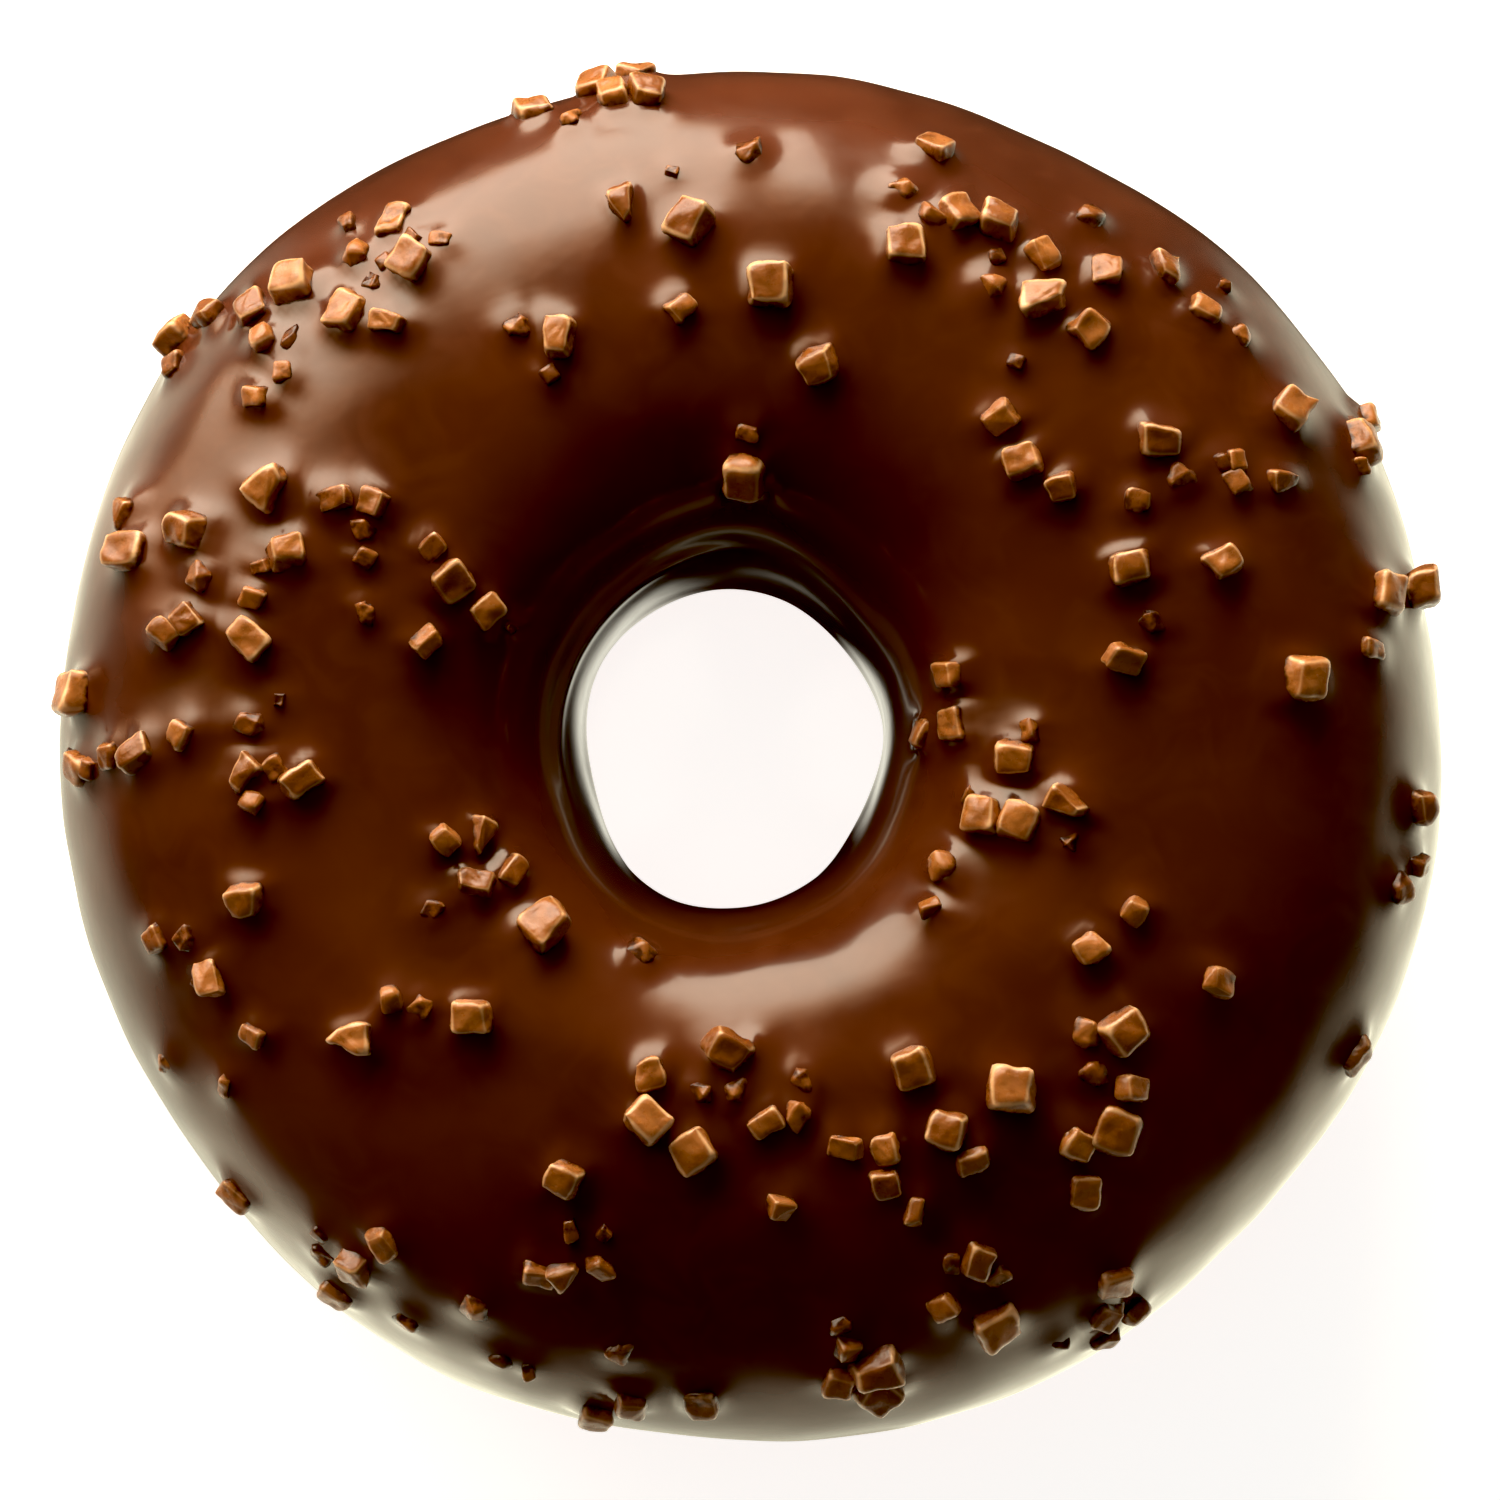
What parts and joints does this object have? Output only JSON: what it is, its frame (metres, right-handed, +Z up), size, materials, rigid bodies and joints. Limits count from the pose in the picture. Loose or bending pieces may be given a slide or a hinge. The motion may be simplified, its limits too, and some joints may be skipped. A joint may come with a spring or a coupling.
{
  "type": "sprinkle frosted doughnut",
  "caption": "Ring doughnut dipped in glossy dark chocolate glaze and strewn with small chopped caramel fudge pieces, with a bare fried underside to rest on.",
  "frame": {"origin": "middle of the doughnut's outline, on the plane it rests on", "axes": "+Z up through the hole, +X and +Y across the ring, lying flat"},
  "size_m": [0.0924, 0.0919, 0.036],
  "materials": {
    "fried_dough": "matte fried crust",
    "dark_chocolate": "glossy set glaze",
    "caramel_fudge": "waxy chopped fudge"
  },
  "bodies": {
    "root": {"dough_ring": "fried_dough", "chocolate_glaze": "dark_chocolate"}
  },
  "joints": []
}
